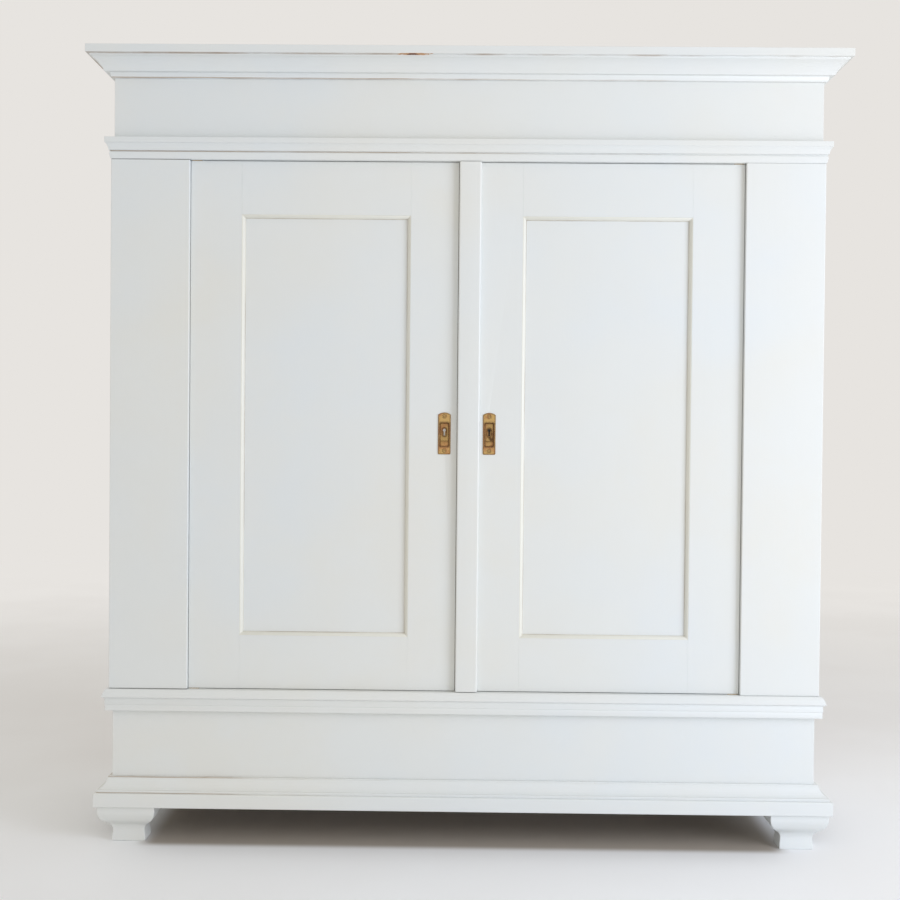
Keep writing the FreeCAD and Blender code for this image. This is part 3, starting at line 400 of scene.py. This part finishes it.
def wood_grain_group():
    """Aged softwood: growth lines, fine pores and a slow drift of colour."""
    group, tree, given, result = new_group(
        "wood_grain",
        [("Vector", "vector", None), ("Along", "vector", (1.0, 1.0, 1.0)),
         ("Pale", "colour", (*BARE_PALE, 1.0)), ("Dark", "colour", (*BARE_DARK, 1.0))],
        [("Color", "colour"), ("Height", "value")])
    stretched = tree.vector_maths("MULTIPLY", given["Vector"], given["Along"])
    drift = tree.noise(stretched, scale=3.0, detail=2.0, roughness=0.5)
    rings = tree.maths("SINE", tree.maths("MULTIPLY", drift, 95.0))
    rings = tree.maths("ADD", tree.maths("MULTIPLY", rings, 0.5), 0.5)
    pores = tree.noise(stretched, scale=130.0, detail=3.0, roughness=0.65)
    tone = tree.noise(given["Vector"], scale=2.3, detail=3.0, roughness=0.5)
    shade = tree.maths("ADD", tree.maths("MULTIPLY", rings, 0.34), tree.maths("MULTIPLY", pores, 0.42))
    shade = tree.maths("ADD", shade, tree.maths("MULTIPLY", tone, 0.30), clamp=True)
    tree.join(tree.blend(tree.ease(shade, 0.22, 0.86), given["Pale"], given["Dark"]), result["Color"])
    tree.join(shade, result["Height"])
    return group


def tarnish_group():
    """Dark metal along the edges and in clouds, as tarnish and, at edges and slots, as painted shade, and the
    fine scratches of long use.
    """
    group, tree, given, result = new_group(
        "tarnish",
        [("Vector", "vector", None), ("Width", "value", 0.0015), ("Amount", "value", 0.5)],
        [("Mask", "value"), ("Scratches", "value")])
    edge = tree.ease(tree.edge_turn(given["Width"]), 0.003, 0.06)
    cloud = tree.noise(given["Vector"], scale=140.0, detail=4.0, roughness=0.65)
    cover = tree.maths("ADD", tree.maths("MULTIPLY", edge, 0.75), tree.maths("MULTIPLY", cloud, 0.80))
    start = tree.maths("SUBTRACT", 0.80, tree.maths("MULTIPLY", given["Amount"], 0.50))
    tree.join(tree.ease(cover, start, tree.maths("ADD", start, 0.40)), result["Mask"])
    scratch_line = tree.vector_maths("MULTIPLY", given["Vector"], (1.0, 1.0, 0.06))
    tree.join(tree.noise(scratch_line, scale=1500.0, detail=2.0, roughness=0.7), result["Scratches"])
    return group


ARRIS_WEAR = arris_wear_group()
STAIN_AND_SHADOW_LINE = stain_and_shadow_line_group()
BRUSH_MARKS = brush_marks_group()
INNER_FACE = inner_face_group()
DEPTH_BAND = depth_band_group()
PAINT_CHIP = paint_chip_group()
BOARD_TONE = board_tone_group()
WOOD_GRAIN = wood_grain_group()
TARNISH_AND_EDGE_SHADE = tarnish_group()

# A small number draws brush marks or grain out along that axis of a board.
ALONG_UPRIGHT = (1.0, 1.0, 0.045)
ALONG_LEVEL = (0.045, 0.045, 1.0)
ALONG_WIDTH = (0.05, 1.0, 1.0)
ALONG_DEPTH = (1.0, 0.05, 1.0)
GRAIN_SHIFT = 7.0


# ---------------------------------------------------------------- finishes
def new_finish(name):
    """A new material, its empty node tree, and the Object coordinates that its patterns follow."""
    material = bpy.data.materials.new(name)
    material.use_nodes = True
    material.node_tree.nodes.clear()
    tree = Tree(material.node_tree)
    return material, tree, tree.add("ShaderNodeTexCoord").outputs["Object"]


def painted_wood(name, along, wear, glaze=(), shadow_seams=(), inside=1.0, bare_from=None, grime_and_shade_from=None,
                 cream=0.0, chips=()):
    """Satin paint over brown wood.

    wear is how far the arrises are rubbed, cream how far the paint has yellowed, and inside how much of
    the faces that look in or back is bare. glaze and seams are lists of (height, strength, heavy end)
    lines: brown stain in mouldings, and in joints a dark line of painted shadow with dirt. chips is one
    of (middle, reach, colour). Past the depth bare_from the wood was never painted, and past the grime
    depth the paint is darkened in patches, as dirt and as painted shade in the corner.
    """
    material, tree, place = new_finish(name)
    brush = tree.place(BRUSH_MARKS, Vector=place, Along=along)
    colour = tree.blend(tree.ease(brush["Tone"], 0.36, 0.64), PAINT_WARM, PAINT_COOL)
    colour = tree.blend(tree.ease(brush["Shade"], 0.30, 0.75, 0.15, 0.85), colour, PAINT)
    colour = tree.blend(cream, colour, PAINT_CREAM)
    # Glaze lines are brown stain; seam lines are painted shadow of the joints, with dirt.
    for lines, stain_and_shadow in ((glaze, GLAZE_BROWN), (shadow_seams, SEAM_SHADOW)):
        for level, strength, heavy_end in lines:
            line = tree.place(STAIN_AND_SHADOW_LINE, Vector=place, Level=level, Strength=strength, Heavy_End=heavy_end)
            colour = tree.blend(tree.maths("MULTIPLY", line["Mask"], 0.85), colour, stain_and_shadow)
    worn = tree.place(ARRIS_WEAR, Vector=place, Amount=wear)
    light, deep = worn["Light"], worn["Deep"]
    if grime_and_shade_from is not None:
        # Past the grime depth the corner is darkened in patches, as dirt and as painted shade.
        grime_and_shade = tree.place(DEPTH_BAND, Vector=place, Start=grime_and_shade_from, Softness=0.8 * MM)["Mask"]
        patches = tree.ease(tree.noise(place, scale=5.0, detail=4.0, roughness=0.6), 0.40, 0.66, 0.15, 0.60)
        colour = tree.blend(tree.maths("MULTIPLY", grime_and_shade, patches), colour, GRIME_AND_SHADE)
    colour = tree.blend(tree.maths("MULTIPLY", light, 0.80), colour, RUBBED_TAN)
    colour = tree.blend(tree.maths("MULTIPLY", deep, 0.75), colour, RUBBED_BROWN)
    for middle, reach, undercoat in chips:
        chip = tree.place(PAINT_CHIP, Vector=place, Middle=middle, Reach=reach)["Mask"]
        colour = tree.blend(chip, colour, undercoat)
        light = tree.maths("MAXIMUM", light, chip)
    bare = tree.place(INNER_FACE, Vector=place, Amount=inside)["Mask"]
    if bare_from is not None:
        behind = tree.place(DEPTH_BAND, Vector=place, Start=bare_from)["Mask"]
        bare = tree.maths("MAXIMUM", bare, behind)
    grain = tree.place(WOOD_GRAIN, Vector=place, Along=along)
    colour = tree.blend(bare, colour, grain["Color"])
    roughness = tree.ease(brush["Streaks"], 0.3, 0.7, 0.36, 0.46)
    roughness = tree.maths("ADD", roughness, tree.maths("MULTIPLY", tree.maths("MAXIMUM", light, bare), 0.25))
    height = tree.maths("SUBTRACT", brush["Streaks"], tree.maths("MULTIPLY", light, 0.8))
    tree.shader(Base_Color=colour, Roughness=roughness,
                Normal=tree.bump(height, distance=0.22 * MM, strength=0.75))
    return material


def bare_wood(name, along, row=None):
    """Aged softwood without paint.

    row is the (across, start, pitch) of boards that share a node, so that each has its own tone and grain.
    """
    material, tree, place = new_finish(name)
    if row is None:
        grain = tree.place(WOOD_GRAIN, Vector=place, Along=along)
        colour = grain["Color"]
    else:
        across, start, pitch = row
        tone = tree.place(BOARD_TONE, Vector=place, Across=across, Start=start, Pitch=pitch)["Tone"]
        shift = tree.maths("MULTIPLY", tone, GRAIN_SHIFT)
        own_place = tree.vector_maths("ADD", place, tree.vector(shift, shift, shift))
        grain = tree.place(WOOD_GRAIN, Vector=own_place, Along=along)
        colour = tree.blend(tree.maths("MULTIPLY", tone, 0.45), grain["Color"], BARE_DARK)
    worn = tree.place(ARRIS_WEAR, Vector=place, Width=2.0 * MM, Amount=0.5)
    colour = tree.blend(tree.maths("MULTIPLY", worn["Light"], 0.5), colour, BARE_DARK)
    roughness = tree.ease(grain["Height"], 0.2, 0.8, 0.52, 0.70)
    tree.shader(Base_Color=colour, Roughness=roughness,
                Normal=tree.bump(grain["Height"], distance=0.4 * MM, strength=0.6))
    return material


def aged_metal(name, bright, dull, amount, shine, dark_edge_width=1.5 * MM, second=None, dark_from=None):
    """Metal with dark edges, as tarnish and painted shade, fine scratches and, where given, patches of a
    second colour.

    amount is how far the tarnish has spread, and shine the roughness of the smoothest metal. Past the
    depth dark_from, in a hollow, the metal is darkened as painted shade.
    """
    material, tree, place = new_finish(name)
    tarnish = tree.place(TARNISH_AND_EDGE_SHADE, Vector=place, Amount=amount, Width=dark_edge_width)
    if second is not None:
        patches = tree.ease(tree.noise(place, scale=38.0, detail=3.0, roughness=0.6), 0.42, 0.60)
        bright = tree.blend(patches, bright, second)
    colour = tree.blend(tree.maths("MULTIPLY", tarnish["Mask"], 0.85), bright, dull)
    if dark_from is not None:
        # Painted shade: past the depth dark_from, in the hollow of a cup, the metal is darkened.
        hollow = tree.place(DEPTH_BAND, Vector=place, Start=dark_from, Softness=4.0 * MM)["Mask"]
        colour = tree.blend(tree.maths("MULTIPLY", hollow, 0.22), colour, dull)
    roughness = tree.maths("ADD", tree.ease(tarnish["Scratches"], 0.3, 0.7, shine, shine + 0.12),
                           tree.maths("MULTIPLY", tarnish["Mask"], 0.25))
    metal = tree.ease(tarnish["Mask"], 0.2, 1.0, 1.0, 0.72)
    tree.shader(Base_Color=colour, Metallic=metal, Roughness=roughness,
                Normal=tree.bump(tarnish["Scratches"], distance=0.03 * MM, strength=0.5))
    return material


# ---------------------------------------------------------------- pieces
def corners_of_solids(work):
    """The corners of each solid of a node; a solid is whole once every edge has met its partner."""
    solids, corners, unmet = [], [], set()
    for face in work.faces:
        corners.extend(face.verts)
        places = [tuple(round(value / SAME_PLACE) for value in vert.co) for vert in face.verts]
        for edge in zip(places, places[1:] + places[:1]):
            unmet ^= {edge[::-1]} if edge[::-1] in unmet else {edge}
        if not unmet:
            solids.append(list(dict.fromkeys(corners)))
            corners = []
    return solids


def merged_copy(node):
    """The node's own solids, each with its triangles joined and its flat faces whole."""
    work = bmesh.new()
    work.from_mesh(frame["nodes"][node].data)
    for corners in corners_of_solids(work):
        bmesh.ops.remove_doubles(work, verts=corners, dist=SAME_PLACE)
    bmesh.ops.dissolve_limit(work, angle_limit=FLAT_ANGLE, verts=work.verts, edges=work.edges,
                             delimit={"NORMAL"})
    return work


def body_of(node):
    return frame["nodes"][node]["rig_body"]


def new_piece(name, work, finish, body):
    """A bmesh made into a piece that rides on a body."""
    mesh = bpy.data.meshes.new(name)
    work.to_mesh(mesh)
    work.free()
    mesh.materials.append(finish)
    for face in mesh.polygons:
        face.use_smooth = True
    mesh.set_sharp_from_angle(angle=SHARP_ANGLE)
    piece = bpy.data.objects.new(name, mesh)
    bpy.context.scene.collection.objects.link(piece)
    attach(piece, body)
    return piece


def soften(node, finish, arris):
    """The node with its arrises eased, in place of the sharp solid."""
    piece = new_piece(node + "_soft", merged_copy(node), finish, body_of(node))
    ease = piece.modifiers.new("eased_arris", "BEVEL")
    ease.width = arris
    ease.segments = ARRIS_SEGMENTS
    ease.limit_method = "ANGLE"
    ease.angle_limit = SHARP_ANGLE
    ease.harden_normals = True
    ease.use_clamp_overlap = True
    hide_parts(node)


LEVEL_PAINT = painted_wood("level_paint", ALONG_LEVEL, wear=0.12)
UPRIGHT_PAINT = painted_wood("upright_paint", ALONG_UPRIGHT, wear=0.18)
DOOR_LEVEL_PAINT = painted_wood("door_level_paint", ALONG_LEVEL, wear=0.02)
DOOR_UPRIGHT_PAINT = painted_wood("door_upright_paint", ALONG_UPRIGHT, wear=0.06)
PANEL_MOULDING_PAINT = painted_wood("panel_moulding_paint", ALONG_UPRIGHT, wear=0.30,
                                    grime_and_shade_from=PANEL_CORNER, cream=0.6)
FRONT_EDGED_BOARD = painted_wood("front_edged_board", ALONG_WIDTH, wear=0.10, bare_from=BARE_BEHIND_EDGE)
# The seams at the pilasters' foot and head are painted shadow of the joints, heavier to the left.
PILASTER_PAINT = painted_wood("pilaster_paint", ALONG_UPRIGHT, wear=0.18,
                              shadow_seams=[(PILASTER_FOOT_JOINT, 0.60, -1.2), (PILASTER_HEAD_JOINT, 0.25, -1.2)])
FOOT_PAINT = painted_wood("foot_paint", ALONG_LEVEL, wear=0.25, inside=0.0)
CORNICE_PAINT = painted_wood(
    "cornice_paint", ALONG_LEVEL, wear=0.42,
    glaze=[(CORNICE_BAND_LINE, 0.32, -0.6), (CORNICE_FOOT_LINE, 0.45, -1.0)],
    chips=[(CHIP_MIDDLE, CHIP_REACH, CHIP_ORANGE), (CHIP_HEART, CHIP_HEART_REACH, CHIP_DARK)])
ARCHITRAVE_PAINT = painted_wood("architrave_paint", ALONG_LEVEL, wear=0.34,
                                glaze=[(ARCHITRAVE_LINE, 0.45, -1.2)])
SILL_PAINT = painted_wood("sill_paint", ALONG_LEVEL, wear=0.22)
BASE_MOULDING_PAINT = painted_wood("base_moulding_paint", ALONG_LEVEL, wear=0.34,
                                   glaze=[(BASE_HEAD_LINE, -0.30, -2.0), (BASE_FOOT_LINE, -0.30, -2.0)])

WOOD_WIDTHWISE = bare_wood("wood_widthwise", ALONG_WIDTH)
WOOD_DEPTHWISE = bare_wood("wood_depthwise", ALONG_DEPTH)
BACK_BOARD_WOOD = bare_wood("back_board_wood", ALONG_UPRIGHT,
                            ((1.0, 0.0, 0.0), BACK_LOW.x, (BACK_HIGH.x - BACK_LOW.x) / BACK_BOARD_COUNT))
ROOF_BOARD_WOOD = bare_wood("roof_board_wood", ALONG_WIDTH,
                            ((0.0, 1.0, 0.0), ROOF_LOW.y, (ROOF_HIGH.y - ROOF_LOW.y) / ROOF_BOARD_COUNT))
# The plates' wide dark edge is tarnish and also the painted shadow of the gap round them.
PLATE_BRASS = aged_metal("plate_brass", BRASS, BRASS_TARNISH_AND_SHADE, amount=0.60, shine=0.26,
                         dark_edge_width=5.5 * MM, second=BRASS_ORANGE, dark_from=PLATE_HOLLOW_SHADE)
# The screws are darkened more, as tarnish and as painted shade in their slots.
SCREW_BRASS = aged_metal("screw_brass", BRASS, BRASS_TARNISH_AND_SHADE, amount=0.85, shine=0.30, dark_edge_width=1.2 * MM)
SOCKET_BRASS = aged_metal("socket_brass", BRASS, BRASS_TARNISH_AND_SHADE, amount=0.70, shine=0.32)
OILED_STEEL = aged_metal("oiled_steel", STEEL, STEEL_RUST, amount=0.55, shine=0.34)

FINISHES = [
    (LEVEL_PAINT, "paint", PAINTED_ARRIS,
     ["slab_front", "slab_sides", "plinth_front", "plinth_sides", "frieze_front", "frieze_sides"]),
    (UPRIGHT_PAINT, "paint", PAINTED_ARRIS,
     ["door_jambs", "left_side_frame", "right_side_frame", "left_side_panel", "right_side_panel"]),
    (PILASTER_PAINT, "paint", PILASTER_ARRIS, ["left_pilaster", "right_pilaster"]),
    (DOOR_LEVEL_PAINT, "paint", DOOR_ARRIS,
     ["left_top_rail", "left_bottom_rail", "right_top_rail", "right_bottom_rail"]),
    (DOOR_UPRIGHT_PAINT, "paint", DOOR_ARRIS,
     ["left_hanging_stile", "left_meeting_stile", "left_panel",
      "right_hanging_stile", "right_meeting_stile", "right_panel", "cover_strip"]),
    (PANEL_MOULDING_PAINT, "paint", DOOR_ARRIS, ["left_panel_moulding", "right_panel_moulding"]),
    (FOOT_PAINT, "paint", FOOT_ARRIS, ["feet"]),
    (CORNICE_PAINT, "paint", PAINTED_ARRIS, ["cornice_front", "cornice_returns"]),
    (ARCHITRAVE_PAINT, "paint", PAINTED_ARRIS, ["architrave_front", "architrave_returns"]),
    (SILL_PAINT, "paint", PAINTED_ARRIS, ["sill_moulding_front", "sill_moulding_returns"]),
    (BASE_MOULDING_PAINT, "paint", PAINTED_ARRIS, ["base_moulding_front", "base_moulding_returns"]),
    (WOOD_WIDTHWISE, "bare_wood", WOOD_ARRIS,
     ["lower_shelf", "middle_shelf", "upper_shelf", "door_stops"]),
    (LEVEL_PAINT, "bare_wood", WOOD_ARRIS, ["slab_back", "plinth_back", "frieze_back"]),
    (FRONT_EDGED_BOARD, "bare_wood", DOOR_ARRIS, ["bottom_board", "ceiling_board"]),
    (WOOD_DEPTHWISE, "bare_wood", WOOD_ARRIS, ["shelf_bearers"]),
    (BACK_BOARD_WOOD, "bare_wood", WOOD_ARRIS, ["back_boards"]),
    (ROOF_BOARD_WOOD, "bare_wood", WOOD_ARRIS, ["roof_boards"]),
    (PLATE_BRASS, "brass", METAL_ARRIS, ["left_lock_plate", "right_lock_plate"]),
    (SCREW_BRASS, "brass", METAL_ARRIS, ["left_door_screws", "right_door_screws"]),
    (SOCKET_BRASS, "brass", METAL_ARRIS, ["pivot_sockets"]),
    (OILED_STEEL, "steel", METAL_ARRIS,
     ["left_pivots", "right_pivots", "lock_case", "lock_bolt", "lock_keeper", "slide_bolt_guides",
      "upper_slide_bolt", "lower_slide_bolt"]),
]
for finish, slot_name, arris, node_names in FINISHES:
    for node_name in node_names:
        soften(node_name, finish, arris)


# ---------------------------------------------------------------- floor, lights and camera
def make_floor():
    """A pale floor with a painted shadow under the cupboard, that fades into the background far away."""
    work = bmesh.new()
    bmesh.ops.create_circle(work, cap_ends=True, segments=FLOOR_SEGMENTS, radius=FLOOR_RADIUS)
    mesh = bpy.data.meshes.new("floor")
    work.to_mesh(mesh)
    work.free()
    material, tree, place = new_finish("floor_finish")
    far = tree.ease(tree.length(place), *FLOOR_FADE)
    cloud = tree.noise(place, scale=1.4, detail=3.0, roughness=0.5)
    near = tree.blend(tree.ease(cloud, 0.35, 0.65), FLOOR, FLOOR_SHADE)
    # The floor under the cupboard is darkened as painted shadow.
    across, deep = (tree.maths("ABSOLUTE", axis) for axis in tree.axes(place)[:2])
    under = tree.maths("MULTIPLY", tree.ease(across, *UNDER_SHADOW_HALF_WIDTH), tree.ease(deep, *UNDER_SHADOW_HALF_DEPTH))
    near = tree.blend(under, near, FLOOR_UNDER_SHADOW)
    tree.shader(Base_Color=tree.blend(far, near, BLACK), Roughness=tree.ease(cloud, 0.3, 0.7, 0.55, 0.65),
                Specular_IOR_Level=tree.ease(far, 0.0, 1.0, 0.3, 0.0),
                Emission_Color=(*BACKGROUND, 1.0), Emission_Strength=far)
    mesh.materials.append(material)
    floor = bpy.data.objects.new("floor", mesh)
    bpy.context.scene.collection.objects.link(floor)


def make_world():
    """Soft light all round; the eye and mirrors see a plain pale background."""
    world = bpy.data.worlds.new("studio")
    world.use_nodes = True
    world.node_tree.nodes.clear()
    tree = Tree(world.node_tree)
    rays = tree.add("ShaderNodeLightPath").outputs
    seen = tree.maths("MAXIMUM", rays["Is Camera Ray"],
                      tree.maths("MAXIMUM", rays["Is Glossy Ray"], rays["Is Transmission Ray"]))
    fill = tree.fill(tree.add("ShaderNodeBackground"), Color=FILL_COLOUR, Strength=FILL_STRENGTH)[0]
    pale = tree.fill(tree.add("ShaderNodeBackground"), Color=BACKGROUND, Strength=1.0)[0]
    mix = tree.add("ShaderNodeMixShader")
    for given, socket in zip((seen, fill, pale), mix.inputs):
        tree.join(given, socket)
    tree.join(mix.outputs[0], tree.add("ShaderNodeOutputWorld").inputs[0])
    bpy.context.scene.world = world


def make_window():
    """The soft light of one window at the front right."""
    light = bpy.data.lights.new("window", "AREA")
    light.shape = "RECTANGLE"
    light.size = WINDOW_WIDTH
    light.size_y = WINDOW_HEIGHT
    light.energy = WINDOW_WATTS
    light.color = WINDOW_COLOUR
    lamp = bpy.data.objects.new("window", light)
    bpy.context.scene.collection.objects.link(lamp)
    lamp.location = WINDOW_PLACE
    lamp.rotation_euler = (WINDOW_AIM - WINDOW_PLACE).to_track_quat("-Z", "Y").to_euler()
    lamp.visible_camera = False


def make_camera():
    """The camera by its yaw, pitch and roll, in radians."""
    forward = Vector((math.sin(CAMERA_YAW) * math.cos(CAMERA_PITCH),
                      math.cos(CAMERA_YAW) * math.cos(CAMERA_PITCH), math.sin(CAMERA_PITCH)))
    level_right = Vector((math.cos(CAMERA_YAW), -math.sin(CAMERA_YAW), 0.0))
    level_up = level_right.cross(forward)
    right = level_right * math.cos(CAMERA_ROLL) + level_up * math.sin(CAMERA_ROLL)
    up = level_up * math.cos(CAMERA_ROLL) - level_right * math.sin(CAMERA_ROLL)
    lens = bpy.data.cameras.new("camera")
    lens.sensor_fit = "HORIZONTAL"
    lens.sensor_width = SENSOR_WIDTH
    lens.lens = FOCAL_PIXELS / VIEW_PIXELS * SENSOR_WIDTH
    camera = bpy.data.objects.new("camera", lens)
    bpy.context.scene.collection.objects.link(camera)
    turn = Matrix((right, up, -forward)).transposed().to_4x4()
    camera.matrix_world = Matrix.Translation(CAMERA_PLACE) @ turn
    bpy.context.scene.camera = camera


make_floor()
make_world()
make_window()
make_camera()
bpy.context.scene.view_settings.view_transform = "Standard"
